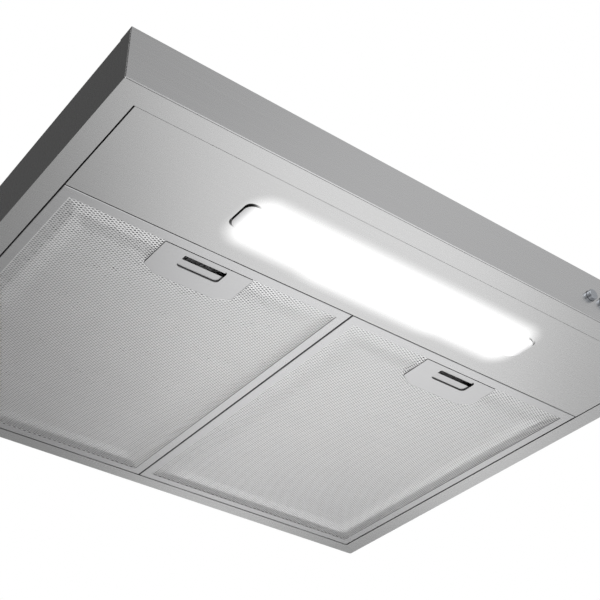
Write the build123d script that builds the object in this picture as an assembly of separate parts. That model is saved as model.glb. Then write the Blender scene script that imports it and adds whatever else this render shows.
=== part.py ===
from build123d import *

import os
from math import cos, radians, sin, sqrt

# Under cabinet range hood, in millimetres. +Z is up, the front faces -Y, and +X is on the right of someone
# who stands in front of it. The origin is the centre of the four cabinet screw holes, in the plane of the
# housing's top face. A shallow canopy tray carries two grease filters and a lamp panel. The housing on its
# rear half holds the blower, whose air leaves through the duct collar on top.

# Canopy tray
hood_width = 598.0
hood_depth = 496.0
tray_height = 50.0
sheet = 1.0
tray_corner = 1.5
flange_side = 18.3
flange_front = 20.6
flange_rear = 15.4

# Front bar
fascia_sheet = 1.2
fascia_gap = 0.4
fascia_return = 16.0
fascia_screw_inset = 36.0

# Upper housing
housing_width = 514.0
housing_depth = 300.0
housing_height = 100.0
housing_flange = 12.0
housing_top_lip = 8.0
cabinet_hole_radius = 3.5
cabinet_hole_inset = 20.0

# Lamp panel and the rail behind it
panel_front_gap = 0.3
panel_depth = 101.5
panel_side_lip = 12.0
panel_rear_lip = 18.0
panel_lug_length = 9.0
panel_lug_width = 40.0
panel_lug_spacing = 200.0
lug_gap = 0.1
rail_sheet = 1.5
rail_height = 32.0
rail_flange = 20.0
rail_lift = 6.0
rail_gap = 2.0

# Lamp
lamp_centre_depth = 71.0
lamp_length = 314.6
lamp_width = 32.6
lamp_corner = 6.5
lens_gap = 1.2
lens_corner = 8.0
lens_drop = 1.2
lens_flange = 5.0
lens_flange_thickness = 2.0
lamp_housing_margin = 7.0
lamp_housing_height = 18.0
lamp_wall = 1.5
board_thickness = 1.6
led_size = 3.0
led_height = 1.2
led_pitch = 12.0

# Grease filters
side_gap = 1.4
joint_gap = 1.2
rear_gap = 1.0
filter_height = 9.0
frame_wall = 1.2
lip_thickness = 0.8
lip_side = 9.2
lip_front = 9.9
lip_rear = 8.8
back_lip = 8.0
back_lip_thickness = 1.0
frame_edge_radius = 0.6
mesh_sheet = 0.6
mesh_play = 0.3
seat_gap = 0.05
bead_depth = 0.6
bead_margin = 0.3
bead_outer_slope = 12.0
bead_inner_slope = 13.7
inner_mesh_thickness = 1.8
rear_lug_width = 30.0
rear_lug_reach = 7.4
rear_lug_thickness = 1.5
rear_lug_offset = 85.0

# Filter latches
latch_width = 85.4
latch_depth = 40.9
latch_chamfer_x = 12.5
latch_chamfer_y = 7.5
latch_sheet = 0.7
latch_recess = 0.2
latch_gap = 0.8
latch_front_gap = 1.2
finger_width = 41.0
finger_depth = 18.1
finger_corner = 4.0
finger_inset = 3.6
slider_thickness = 1.5
slider_lift = 0.7
slider_half_width = 32.0
slider_tab_half_width = 27.0
slider_bridge = 6.5
slider_window = 5.2
slider_arm = 3.0
slider_tab_length = 15.6
slider_play = 0.4
rib_play = 0.05
rib_width = 5.0
tongue_width = 30.0
tongue_engagement = 0.9
latch_travel = 6.0
pull_lip_height = 2.5
latch_spring_wire = 0.25
latch_spring_radius = 1.2
latch_spring_turns = 6
latch_spring_offset = 15.0
spring_pin_radius = 0.75
spring_pin_length = 3.0

# Push buttons and their switch block
button_count = 5
button_first_x = 169.5
button_pitch = 17.0
button_height = 24.0
button_radius = 5.0
button_proud = 4.5
button_cap_length = 11.0
button_edge_radius = 0.8
button_hole_gap = 0.4
button_travel = 3.0
stem_radius = 2.5
stem_gap = 0.08
stem_length = 20.0
switch_offset = 12.0
switch_depth = 30.0
switch_block_height = 20.0
switch_margin = 9.0
spring_pocket_radius = 4.6
spring_pocket_depth = 9.0
button_spring_wire = 0.35
button_spring_radius = 3.6
button_spring_turns = 6
bracket_sheet = 1.2
bracket_flange = 18.0
bracket_margin = 22.0

# Blower: a volute of four arcs whose centres are the corners of a small square
fan_x = -150.0
fan_y = 44.0
volute_step = 9.0
volute_radius = 78.0
cutoff_angle = -60.0
blower_wall = 2.0
blower_gap = 12.0
blower_floor_gap = 6.0
outlet_box_half = 64.0
outlet_box_corner = 12.0
outlet_box_rear = 65.0
ear_radius = 6.5
ear_thickness = 4.0
inlet_radius = 55.0
inlet_height = 8.0
wheel_radius = 70.0
wheel_inner_radius = 58.0
wheel_gap = 4.0
wheel_inlet_gap = 2.0
wheel_plate = 1.5
wheel_ring = 2.0
blade_count = 36
blade_thickness = 1.0
blade_sweep = 14.0
blade_bulge = 2.2
cup_gap = 4.5
hub_radius = 9.0
hub_length = 10.0

# Motor
motor_radius = 31.0
motor_height = 48.0
motor_shell = 1.5
motor_ear_reach = 8.5
motor_ear_thickness = 2.0
motor_ear_count = 3
motor_boss_radius = 8.0
shaft_radius = 4.0
shaft_gap = 0.05
hub_fit = 0.02
bearing_wall = 1.5
bearing_length = 7.5
bearing_seat_gap = 0.03
rotor_radius = 17.0
air_gap = 0.5
stack_height = 22.0
winding_height = 3.0
stator_gap = 0.1
nut_height = 4.0
nut_flats = 13.0

# Rubber bushes and screws
hang_bush_radius = 7.0
motor_bush_radius = 5.0
motor_bush_height = 3.0
bush_bore_gap = 0.3
screw_radius = 1.95
screw_length = 9.0
screw_head_radius = 3.8
screw_head_height = 2.4
screw_gap = 0.1
machine_screw_radius = 2.0
machine_head_radius = 3.5
machine_head_height = 2.4
motor_screw_length = 10.0
boss_height = 4.0
boss_wall = 2.4

# Duct collar and its flaps
collar_radius = 59.75
collar_wall = 2.0
collar_height = 38.0
collar_flange_radius = 74.0
collar_flange_thickness = 2.5
collar_screw_radius = 66.5
skirt_gap = 0.75
skirt_wall = 2.0
skirt_seat = 0.5
ledge_width = 4.25
ledge_thickness = 1.5
damper_gap = 2.25
damper_thickness = 1.2
damper_rest_gap = 0.1
damper_rod_radius = 1.5
damper_rod_gap = 0.06
rod_seat_gap = 0.03
knuckle_radius = 2.8
knuckle_gap = 0.8
knuckle_length = 22.0
knuckle_space = 2.0

# Junction box, its parts and the leads
box_side_gap = 33.0
box_width = 140.0
box_depth = 86.0
box_height = 50.0
box_drop = 10.0
box_wall = 2.0
cover_thickness = 2.0
gland_side_gap = 19.0
gland_front_gap = 34.0
gland_radius = 8.0
gland_bore = 4.5
gland_flange_radius = 12.0
gland_flange_height = 4.0
gland_gap = 0.1
capacitor_radius = 14.0
capacitor_length = 46.0
terminal_length = 44.0
terminal_width = 18.0
terminal_height = 16.0
driver_length = 60.0
driver_width = 26.0
driver_height = 18.0
part_gap = 6.0
lead_radius = 2.0
lead_hole_gap = 0.3
lead_bend = 20.0
lamp_lead_x = 78.0

# Main planes
side_x = hood_width / 2
rear_y = housing_depth / 2
front_y = rear_y - hood_depth
tray_top_z = -housing_height
bottom_z = tray_top_z - tray_height
shell_front_y = front_y + fascia_sheet + fascia_gap
mouth_x = side_x - flange_side
mouth_front_y = front_y + flange_front
mouth_rear_y = rear_y - flange_rear
opening_x = housing_width / 2 - sheet - housing_flange
opening_y = housing_depth / 2 - sheet - housing_flange

# Lamp panel and filters, from the front rearwards
panel_x = mouth_x - side_gap
panel_front_y = mouth_front_y + panel_front_gap
panel_rear_y = panel_front_y + panel_depth
lamp_y = front_y + lamp_centre_depth
filter_front_y = panel_rear_y + joint_gap
filter_rear_y = mouth_rear_y - rear_gap
filter_width = panel_x - joint_gap / 2
filter_x = joint_gap / 2 + filter_width / 2
filter_sides = {"left": -filter_x, "right": filter_x}

# Latch, measured in a filter's own X, centred on it
latch_front_y = filter_front_y + lip_front + latch_front_gap
latch_rear_y = latch_front_y + latch_depth
latch_face_z = bottom_z + latch_recess
finger_front_y = latch_front_y + finger_inset
slider_z = latch_face_z + latch_sheet + slider_lift
bridge_front_y = latch_front_y + latch_sheet + slider_play
bridge_rear_y = bridge_front_y + slider_bridge
tab_front_y = bridge_rear_y + slider_window
tab_rear_y = tab_front_y + slider_tab_length
nose_y = panel_rear_y - sheet - tongue_engagement
spring_rear_y = latch_rear_y - latch_sheet

# Blower levels
roof_top_z = -sheet - blower_gap
roof_z = roof_top_z - blower_wall
floor_z = tray_top_z + blower_floor_gap
floor_top_z = floor_z + blower_wall
split_z = (roof_top_z + floor_z) / 2
skirt_radius = collar_radius - collar_wall - skirt_gap
box_front_y = fan_y - volute_step / 2 - volute_radius - 3 * volute_step
motor_top_z = roof_z - motor_bush_height
motor_bottom_z = motor_top_z - motor_height
cup_radius = motor_radius + motor_ear_reach + 2.5
cup_floor_z = motor_bottom_z - cup_gap
wheel_top_z = roof_z - wheel_gap
wheel_bottom_z = floor_top_z + inlet_height + wheel_inlet_gap
hub_bottom_z = cup_floor_z - hub_length

# Switch levels
button_xs = [button_first_x + button_pitch * number for number in range(button_count)]
button_z = bottom_z + button_height
cap_rear_y = front_y - button_proud + button_cap_length
switch_front_y = shell_front_y + switch_offset
spring_seat_y = switch_front_y + spring_pocket_depth
switch_left_x = button_xs[0] - switch_margin
switch_right_x = button_xs[-1] + switch_margin
bracket_left_x = button_xs[0] - bracket_margin
bracket_right_x = button_xs[-1] + bracket_margin

# Junction box planes
box_left_x = housing_width / 2 - box_side_gap - box_width
box_front_face_y = -rear_y + sheet
box_top_z = -box_drop
box_bottom_z = box_top_z - box_height
gland_x = box_left_x + box_width - gland_side_gap
gland_y = box_front_face_y + gland_front_gap
lead_run_z = tray_top_z - sheet - 2.5 * lead_radius
switch_lead_x = (switch_left_x + switch_right_x) / 2
lead_hole = lead_radius + lead_hole_gap

sheet_hole = screw_radius + screw_gap
machine_hole = machine_screw_radius + screw_gap
machine_screw_length = ear_thickness + blower_gap + sheet / 2


def block(x0, x1, y0, y1, z0, z1):
    """A box between two corners."""
    return Pos((x0 + x1) / 2, (y0 + y1) / 2, (z0 + z1) / 2) * Box(x1 - x0, y1 - y0, z1 - z0)


def disc(x, y, z0, z1, radius):
    """An upright cylinder from z0 to z1."""
    return Pos(x, y, (z0 + z1) / 2) * Cylinder(radius, z1 - z0)


def ring(x, y, z0, z1, outer, inner):
    """An upright tube from z0 to z1."""
    return disc(x, y, z0, z1, outer) - disc(x, y, z0 - 1, z1 + 1, inner)


def rod_y(x, z, y0, y1, radius):
    """A round bar along Y."""
    return Pos(x, (y0 + y1) / 2, z) * Rot(90, 0, 0) * Cylinder(radius, y1 - y0)


def rounded_slab(x, y, length, width, corner, z0, z1):
    """A flat slab with round corners."""
    return Pos(x, y, z0) * extrude(RectangleRounded(length, width, corner), z1 - z0)


def coil_y(x, z, y0, y1, radius, wire, turns):
    """A round wire compression spring along Y, a wire's radius inside each end."""
    length = y1 - y0 - 2 * wire
    path = Helix(length / turns, length, radius)
    wire_face = Plane(origin=path @ 0, z_dir=path % 0) * Circle(wire)
    spring = sweep(wire_face, path=path, is_frenet=True)
    return Pos(x, y0 + wire, z) * Rot(-90, 0, 0) * spring


def screw(radius, length, head_radius, head_height):
    """A pan head screw with a cross recess. Its head stands on z = 0 and its shank points down."""
    head = Pos(0, 0, head_height / 2) * Cylinder(head_radius, head_height)
    head = fillet(head.edges().group_by(Axis.Z)[-1], head_height / 3)
    arm = Pos(0, 0, head_height) * Box(head_radius, head_height / 3, head_height)
    shank = Pos(0, 0, -length / 2) * Cylinder(radius, length)
    return head + shank - arm - Rot(0, 0, 90) * arm


# Screw places: the middle of each screw's seat, and the turn that points its shank the right way
DOWN = Rot(0, 0, 0)
UP = Rot(180, 0, 0)
TO_FRONT = Rot(-90, 0, 0)
TO_REAR = Rot(90, 0, 0)


def fascia_screw_places():
    """Through the fascia's top return into the tray."""
    y = front_y + fascia_return / 2
    reach = side_x - fascia_screw_inset
    return [(x, y, tray_top_z + fascia_sheet) for x in (-reach, -reach / 3, reach / 3, reach)]


def housing_screw_places():
    """Down through the housing's inward flange into the tray."""
    x = opening_x + housing_flange / 2
    y = opening_y + housing_flange / 2
    sides = [(side * x, row * opening_y * 0.7) for side in (-1, 1) for row in (-1, 0, 1)]
    ends = [(side * opening_x / 2, end * y) for side in (-1, 1) for end in (-1, 1)]
    return [(*place, tray_top_z + sheet) for place in sides + ends]


def panel_screw_places():
    """Through the lamp panel's rear lip into the cross rail, above the filters."""
    z = bottom_z + (filter_height + panel_rear_lip) / 2
    return [(side * share * panel_x, panel_rear_y, z) for side in (-1, 1) for share in (0.15, 0.88)]


def collar_screw_places():
    """Through the collar's flange into the housing's top."""
    reach = collar_screw_radius * sqrt(0.5)
    return [(a * reach, b * reach, collar_flange_thickness) for a in (-1, 1) for b in (-1, 1)]


def bracket_screw_places():
    """Down through the tray's top into the switch bracket's flange."""
    y = switch_front_y - bracket_sheet + bracket_flange / 2
    inset = 8.0
    return [(x, y, tray_top_z) for x in (bracket_left_x + inset, bracket_right_x - inset)]


def box_screw_places():
    """Through the housing's front wall into the junction box."""
    z = (box_top_z + box_bottom_z) / 2
    inset = 12.0
    xs = (box_left_x + inset, box_left_x + box_width - inset)
    return [(x, -rear_y, z) for x in xs]


def hang_places():
    """Where rubber bushes hang the blower from the housing's top."""
    high = volute_radius + volute_step + blower_wall + ear_radius
    low = volute_radius + 3 * volute_step + blower_wall + ear_radius
    corner = sqrt(0.5)
    half = volute_step / 2
    box_x = outlet_box_half + blower_wall + ear_radius
    return [
        (fan_x - half + high * corner, fan_y + half + high * corner),
        (fan_x + half - low * corner, fan_y - half - low * corner),
        (box_x, -outlet_box_half * 0.75),
        (box_x, outlet_box_half * 0.75),
    ]


def join_places():
    """Where screws join the two halves of the blower's housing."""
    middle = volute_radius + 2 * volute_step + blower_wall + ear_radius
    corner = sqrt(0.5)
    half = volute_step / 2
    front = box_front_y - blower_wall - ear_radius
    rear = outlet_box_rear + blower_wall + ear_radius
    return [
        (fan_x - half - middle * corner, fan_y - half + middle * corner),
        (fan_x + volute_radius * 0.4, front),
        (outlet_box_half * 0.4, front),
        (outlet_box_half + blower_wall + ear_radius, 0),
        (0, rear),
    ]


def motor_ear_places():
    """The motor's three ears, where its screws and bushes are."""
    reach = motor_radius + motor_ear_reach / 2
    turns = [radians(90 + 360 * number / motor_ear_count) for number in range(motor_ear_count)]
    return [(fan_x + reach * cos(turn), fan_y + reach * sin(turn)) for turn in turns]


def upright_holes(places, radius, z0, z1):
    """Upright hole cutters at a list of places."""
    return [disc(place[0], place[1], z0, z1, radius) for place in places]


def canopy_shell():
    """The folded tray: top, walls and bottom flange, open below and towards the housing."""
    outer = block(-side_x, side_x, shell_front_y, rear_y, bottom_z, tray_top_z)
    outer = fillet(outer.edges().filter_by(Axis.Z), tray_corner)
    inner_x = side_x - sheet
    inner = block(
        -inner_x, inner_x, shell_front_y + sheet, rear_y - sheet, bottom_z + sheet, tray_top_z - sheet
    )
    mouth = block(-mouth_x, mouth_x, mouth_front_y, mouth_rear_y, bottom_z - sheet, bottom_z + 2 * sheet)
    opening = block(-opening_x, opening_x, -opening_y, opening_y, tray_top_z - 2 * sheet, tray_top_z + sheet)
    places = fascia_screw_places() + housing_screw_places() + bracket_screw_places()
    cuts = upright_holes(places, sheet_hole, tray_top_z - 2 * sheet, tray_top_z + sheet)
    wall_rear_y = shell_front_y + sheet
    hole_radius = button_radius + 2 * button_hole_gap
    for x in button_xs:
        cuts.append(rod_y(x, button_z, shell_front_y - 1, wall_rear_y + 1, hole_radius))
    return outer - inner - mouth - opening - cuts


def front_fascia():
    """The front bar, folded back over the tray's top, with a hole for each button."""
    top_z = tray_top_z + fascia_sheet
    bar = block(-side_x, side_x, front_y, front_y + fascia_sheet, bottom_z, top_z)
    back = block(-side_x, side_x, front_y, front_y + fascia_return, tray_top_z, top_z)
    bar = bar + back
    fold = bar.edges().filter_by(Axis.X).filter_by(lambda e: e.center().Y < front_y + 0.01)
    bar = fillet(fold.group_by(Axis.Z)[-1], fascia_sheet / 2)
    cuts = upright_holes(fascia_screw_places(), sheet_hole, tray_top_z - 1, top_z + 1)
    hole_radius = button_radius + button_hole_gap
    for x in button_xs:
        cuts.append(rod_y(x, button_z, front_y - 1, front_y + fascia_sheet + 1, hole_radius))
    return bar - cuts


def upper_housing():
    """The housing's four walls on the tray, with an inward flange along their lower edge."""
    half_x = housing_width / 2
    outer = block(-half_x, half_x, -rear_y, rear_y, tray_top_z, -sheet - seat_gap)
    outer = fillet(outer.edges().filter_by(Axis.Z), tray_corner)
    inner_x = half_x - sheet
    inner_y = rear_y - sheet
    inner = block(-inner_x, inner_x, -inner_y, inner_y, tray_top_z + sheet, sheet)
    mouth = block(-opening_x, opening_x, -opening_y, opening_y, tray_top_z - sheet, tray_top_z + 2 * sheet)
    cuts = upright_holes(housing_screw_places(), sheet_hole, tray_top_z - sheet, tray_top_z + 2 * sheet)
    for x, y, z in box_screw_places():
        cuts.append(rod_y(x, z, -rear_y - 1, -rear_y + 2 * sheet, sheet_hole))
    return outer - inner - mouth - cuts


def housing_top():
    """The housing's top, folded down inside the walls, with bosses for the blower's screws."""
    half_x = housing_width / 2
    top = block(-half_x, half_x, -rear_y, rear_y, -sheet, 0)
    top = fillet(top.edges().filter_by(Axis.Z), tray_corner)
    lip_x = half_x - sheet - seat_gap
    lip_y = rear_y - sheet - seat_gap
    lips = block(-lip_x, lip_x, -lip_y, lip_y, -sheet - housing_top_lip, -sheet / 2)
    lips -= block(sheet - lip_x, lip_x - sheet, sheet - lip_y, lip_y - sheet, -2 * housing_top_lip, 0)
    top += lips
    for x, y in hang_places():
        top += disc(x, y, -sheet - boss_height, -sheet / 2, machine_hole + boss_wall)
    hole_x = half_x - cabinet_hole_inset
    hole_y = rear_y - cabinet_hole_inset
    cabinet = [(side * hole_x, end * hole_y) for side in (-1, 1) for end in (-1, 1)]
    cuts = upright_holes(cabinet, cabinet_hole_radius, -2 * sheet, sheet)
    cuts += upright_holes(hang_places(), machine_hole, -sheet - boss_height - 1, sheet)
    cuts += upright_holes(collar_screw_places(), sheet_hole, -2 * sheet, sheet)
    cuts.append(disc(0, 0, -2 * sheet, sheet, skirt_radius + skirt_gap))
    cuts.append(disc(gland_x, gland_y, -2 * sheet, sheet, gland_radius + gland_gap))
    return top - cuts


def keeper_slot(x):
    """The opening in the lamp panel's rear lip that takes a filter's tongue."""
    half = tongue_width / 2 + 2 * slider_play
    low = slider_z - slider_play
    high = slider_z + slider_thickness + slider_play
    return block(x - half, x + half, panel_rear_y - 2 * sheet, panel_rear_y + sheet, low, high)


def lamp_panel():
    """The removable panel in front of the filters, with lips up at three sides and lugs at the front."""
    plate = block(-panel_x, panel_x, panel_front_y, panel_rear_y, bottom_z, bottom_z + sheet)
    lip = block(-panel_x, panel_x, panel_rear_y - sheet, panel_rear_y, bottom_z, bottom_z + panel_rear_lip)
    panel = plate + lip
    side_lip_end_y = panel_rear_y - sheet - rail_sheet - rail_gap
    for side in (-1, 1):
        edge = sorted((side * panel_x, side * (panel_x - sheet)))
        panel += block(*edge, panel_front_y, side_lip_end_y, bottom_z, bottom_z + panel_side_lip)
    lug_z = bottom_z + sheet + lug_gap
    for x in (-panel_lug_spacing, 0, panel_lug_spacing):
        half = panel_lug_width / 2
        front = panel_front_y - panel_lug_length
        panel += block(x - half, x + half, front, panel_front_y + 2 * sheet, lug_z, lug_z + sheet)
        panel += block(x - half, x + half, panel_front_y, panel_front_y + 2 * sheet, bottom_z, lug_z + sheet)
    window = rounded_slab(
        0, lamp_y, lamp_length, lamp_width, lamp_corner, bottom_z - 1, bottom_z + sheet + 1
    )
    cuts = [window] + [keeper_slot(x) for x in filter_sides.values()]
    for x, y, z in panel_screw_places():
        cuts.append(rod_y(x, z, y - 2 * sheet, y + 1, sheet_hole))
    return panel - cuts


def cross_rail():
    """A steel channel between the tray's side walls, with end tabs that are spot welded to them."""
    half = side_x - sheet - seat_gap
    web_y = panel_rear_y - sheet
    low = bottom_z + rail_lift
    high = low + rail_height
    rail = block(-half, half, web_y - rail_sheet, web_y, low, high)
    rail += block(-half, half, web_y - rail_flange, web_y, high - rail_sheet, high)
    tab_bottom = bottom_z + panel_side_lip + 2 * sheet
    for side in (-1, 1):
        edge = sorted((side * half, side * (half - rail_sheet)))
        rail += block(*edge, web_y - rail_flange, web_y, tab_bottom, high)
    cuts = [rod_y(x, z, y - sheet - 2 * rail_sheet, y, sheet_hole) for x, y, z in panel_screw_places()]
    return rail - cuts


def panel_screws():
    """Every identical self-tapping screw."""
    one = screw(screw_radius, screw_length, screw_head_radius, screw_head_height)
    groups = [
        (fascia_screw_places() + housing_screw_places() + collar_screw_places(), DOWN),
        (bracket_screw_places(), DOWN),
        (panel_screw_places(), TO_FRONT),
        (box_screw_places(), TO_REAR),
    ]
    return [Pos(*place) * turn * one for places, turn in groups for place in places]


def filter_frame():
    """The rolled frame: a channel all round, a slot for the tongue and two rear lugs."""
    half = filter_width / 2
    top_z = bottom_z + filter_height
    outer = block(-half, half, filter_front_y, filter_rear_y, bottom_z, top_z)
    outer = fillet(outer.edges().group_by(Axis.Z)[0], frame_edge_radius)
    wall = frame_wall
    channel = block(
        wall - half,
        half - wall,
        filter_front_y + wall,
        filter_rear_y - wall,
        bottom_z + lip_thickness,
        top_z - back_lip_thickness,
    )
    lower = block(
        lip_side - half,
        half - lip_side,
        filter_front_y + lip_front,
        filter_rear_y - lip_rear,
        bottom_z - 1,
        bottom_z + lip_thickness + 1,
    )
    upper = block(
        back_lip - half,
        half - back_lip,
        filter_front_y + back_lip,
        filter_rear_y - back_lip,
        top_z - back_lip_thickness - 1,
        top_z + 1,
    )
    slot_half = tongue_width / 2 + slider_play
    slot = block(
        -slot_half,
        slot_half,
        filter_front_y - 1,
        filter_front_y + wall + 1,
        slider_z - slider_play,
        slider_z + slider_thickness + slider_play,
    )
    frame = outer - channel - lower - upper - slot
    lug_z = bottom_z + sheet + lug_gap
    for side in (-1, 1):
        x = side * rear_lug_offset
        frame += block(
            x - rear_lug_width / 2,
            x + rear_lug_width / 2,
            filter_rear_y - frame_wall,
            filter_rear_y + rear_gap + rear_lug_reach,
            lug_z,
            lug_z + rear_lug_thickness,
        )
    return frame


def latch_outline(inset):
    """The latch cover's outline, with its two rear corners cut off, drawn inset from its edge."""
    half = latch_width / 2 - inset
    front = latch_front_y + inset
    rear = latch_rear_y - inset
    cut_x = latch_chamfer_x - inset * 0.5
    cut_y = latch_chamfer_y - inset * 0.5
    points = [
        (-half, front),
        (half, front),
        (half, rear - cut_y),
        (half - cut_x, rear),
        (cut_x - half, rear),
        (-half, rear - cut_y),
    ]
    return make_face(Polyline(*points, close=True))


def latch_pocket():
    """The space that the latch cover and the tongue in front of it take out of the mesh."""
    low = latch_face_z - 1
    pocket = Pos(0, 0, low) * extrude(latch_outline(-latch_gap), back_mesh_z() - low)
    half = tongue_width / 2 + slider_play
    high = slider_z + slider_thickness + slider_play
    return pocket + block(-half, half, filter_front_y, latch_front_y + 1, low, high)


def mesh_outline(play):
    """Half the width, the front and the rear of a sheet that lies in the frame's channel."""
    return (
        filter_width / 2 - frame_wall - play,
        filter_front_y + frame_wall + play,
        filter_rear_y - frame_wall - play,
    )


def bead_space(level):
    """The space between a level and the bead that is pressed down out of it inside the lips."""
    edge = bead_margin
    crest = edge + bead_outer_slope
    foot = crest + bead_inner_slope
    middle = (filter_front_y + lip_front + filter_rear_y - lip_rear) / 2

    def ring(inset, z):
        width = filter_width - 2 * (lip_side + inset)
        depth = filter_rear_y - lip_rear - filter_front_y - lip_front - 2 * inset
        return Pos(0, middle, z) * Rectangle(width, depth)

    low = level - bead_depth
    return loft([ring(edge, level), ring(crest, low)]) - loft([ring(crest, low), ring(foot, level)])


def filter_face_mesh():
    """The perforated face sheet, with a bead all round inside the lips and the latch's cut-out."""
    half, front, rear = mesh_outline(mesh_play)
    base = bottom_z + lip_thickness + seat_gap
    plate = block(-half, half, front, rear, base, base + mesh_sheet)
    return plate + bead_space(base) - bead_space(base + mesh_sheet) - latch_pocket()


def back_mesh_z():
    """The level of the back sheet's lower face."""
    return bottom_z + filter_height - back_lip_thickness - seat_gap - mesh_sheet


def filter_inner_mesh():
    """The layers of expanded metal, as one flat pack."""
    half, front, rear = mesh_outline(mesh_play)
    top = back_mesh_z() - seat_gap
    return block(-half, half, front, rear, top - inner_mesh_thickness, top) - latch_pocket()


def filter_back_mesh():
    """The plain perforated back sheet."""
    half, front, rear = mesh_outline(mesh_play)
    return block(-half, half, front, rear, back_mesh_z(), back_mesh_z() + mesh_sheet)


def filter_latch_plate():
    """The latch cover: a shallow cup with the finger opening, a slot and two ribs for the slider."""
    top = back_mesh_z() - seat_gap
    cup = Pos(0, 0, latch_face_z) * extrude(latch_outline(0), top - latch_face_z)
    inside = Pos(0, 0, latch_face_z + latch_sheet) * extrude(latch_outline(latch_sheet), filter_height)
    finger_y = finger_front_y + finger_depth / 2
    opening = rounded_slab(
        0, finger_y, finger_width, finger_depth, finger_corner, latch_face_z - 1, slider_z
    )
    slot_half = tongue_width / 2 + slider_play
    slot = block(
        -slot_half,
        slot_half,
        latch_front_y - 1,
        latch_front_y + latch_sheet + 1,
        slider_z - slider_play,
        slider_z + slider_thickness + slider_play,
    )
    plate = cup - inside - opening - slot
    rib_edge = slider_half_width - 1
    for side in (-1, 1):
        across = sorted((side * rib_edge, side * (rib_edge - rib_width)))
        rear = latch_rear_y - latch_chamfer_y - latch_sheet
        plate += block(
            *across, bridge_front_y, rear, latch_face_z + latch_sheet / 2, slider_z - rib_play
        )
    return plate


def filter_latch_slider():
    """The sliding tongue: nose, bridge, two arms and the pull tab with its raised lip."""
    top = slider_z + slider_thickness
    rear = tab_front_y + slider_arm
    plate = block(-slider_half_width, slider_half_width, bridge_front_y, rear, slider_z, top)
    window_half = slider_half_width - slider_arm - rib_width
    plate -= block(-window_half, window_half, bridge_rear_y, tab_front_y, slider_z - 1, top + 1)
    tab_half = slider_tab_half_width
    plate += block(-tab_half, tab_half, tab_front_y, tab_rear_y, slider_z, top)
    lip_half = finger_width / 2
    plate += block(
        -lip_half, lip_half, tab_front_y, tab_front_y + slider_thickness, slider_z, top + pull_lip_height
    )
    tongue_half = tongue_width / 2
    tongue = block(-tongue_half, tongue_half, nose_y, bridge_rear_y, slider_z, top)
    nose_edge = tongue.edges().group_by(Axis.Y)[0].group_by(Axis.Z)[0]
    plate += chamfer(nose_edge, slider_thickness / 2)
    pin_z = slider_z + slider_thickness / 2
    for side in (-1, 1):
        x = side * latch_spring_offset
        plate += rod_y(x, pin_z, tab_rear_y - 1, tab_rear_y + spring_pin_length, spring_pin_radius)
    return plate


def filter_latch_springs():
    """Two springs between the slider and the latch cover's rear wall."""
    z = slider_z + slider_thickness / 2
    radius = latch_spring_radius
    wire = latch_spring_wire
    turns = latch_spring_turns
    return [
        coil_y(side * latch_spring_offset, z, tab_rear_y, spring_rear_y, radius, wire, turns)
        for side in (-1, 1)
    ]


def lens_size():
    """Length, width and corner of the lens's window, inside the panel's opening."""
    return lamp_length - 2 * lens_gap, lamp_width - 2 * lens_gap, lens_corner


def lamp_lens():
    """The opal lens: a window that stands down through the panel, and a flange above the tray's rim."""
    length, width, corner = lens_size()
    rim_top = bottom_z + sheet + lamp_wall
    window = rounded_slab(0, lamp_y, length, width, corner, bottom_z - lens_drop, rim_top + seat_gap)
    base = rim_top + seat_gap
    flange = rounded_slab(
        0, lamp_y, length + lens_flange, width + lens_flange, corner, base, base + lens_flange_thickness
    )
    return window + flange


def lamp_housing():
    """The black lamp tray, open above, with a rim that fills the gap round the lens."""
    length, width, corner = lens_size()
    outer_length = lamp_length + 2 * lamp_housing_margin
    outer_width = lamp_width + 2 * lamp_housing_margin
    low = bottom_z + sheet
    high = low + lamp_housing_height
    outer = rounded_slab(0, lamp_y, outer_length, outer_width, lamp_corner, low, high)
    inside = rounded_slab(
        0,
        lamp_y,
        outer_length - 2 * lamp_wall,
        outer_width - 2 * lamp_wall,
        lamp_corner - lamp_wall,
        low + lamp_wall,
        high + 1,
    )
    play = 2 * mesh_play
    window = rounded_slab(
        0, lamp_y, length + play, width + play, corner + mesh_play, low - 1, low + lamp_wall + 1
    )
    return outer - inside - window


def led_board():
    """The board that closes the lamp tray, with its LEDs facing down."""
    low = bottom_z + sheet + lamp_housing_height
    outer_length = lamp_length + 2 * lamp_housing_margin
    outer_width = lamp_width + 2 * lamp_housing_margin
    board = rounded_slab(0, lamp_y, outer_length, outer_width, lamp_corner, low, low + board_thickness)
    count = int((lamp_length - 2 * lamp_corner) / led_pitch)
    for number in range(count):
        x = (number - (count - 1) / 2) * led_pitch
        board += Pos(x, lamp_y, low - led_height / 2) * Box(led_size, led_size, led_height)
    return board


def button(x):
    """A push button: a round metal cap on a stem."""
    cap = rod_y(x, button_z, front_y - button_proud, cap_rear_y, button_radius)
    front_edge = cap.edges().group_by(Axis.Y)[0]
    cap = fillet(front_edge, button_edge_radius)
    return cap + rod_y(x, button_z, cap_rear_y, cap_rear_y + stem_length, stem_radius)


def button_spring(x):
    """The return spring round a button's stem."""
    return coil_y(
        x,
        button_z,
        cap_rear_y,
        spring_seat_y,
        button_spring_radius,
        button_spring_wire,
        button_spring_turns,
    )


def switch_body():
    """The switch block, with a bore for each stem and a pocket for each spring."""
    half = switch_block_height / 2
    rear = switch_front_y + switch_depth
    body = block(switch_left_x, switch_right_x, switch_front_y, rear, button_z - half, button_z + half)
    stem_end = cap_rear_y + stem_length + button_travel + 1
    cuts = []
    for x in button_xs:
        cuts.append(rod_y(x, button_z, switch_front_y - 1, stem_end, stem_radius + stem_gap))
        cuts.append(rod_y(x, button_z, switch_front_y - 1, spring_seat_y, spring_pocket_radius))
    return body - cuts


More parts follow.
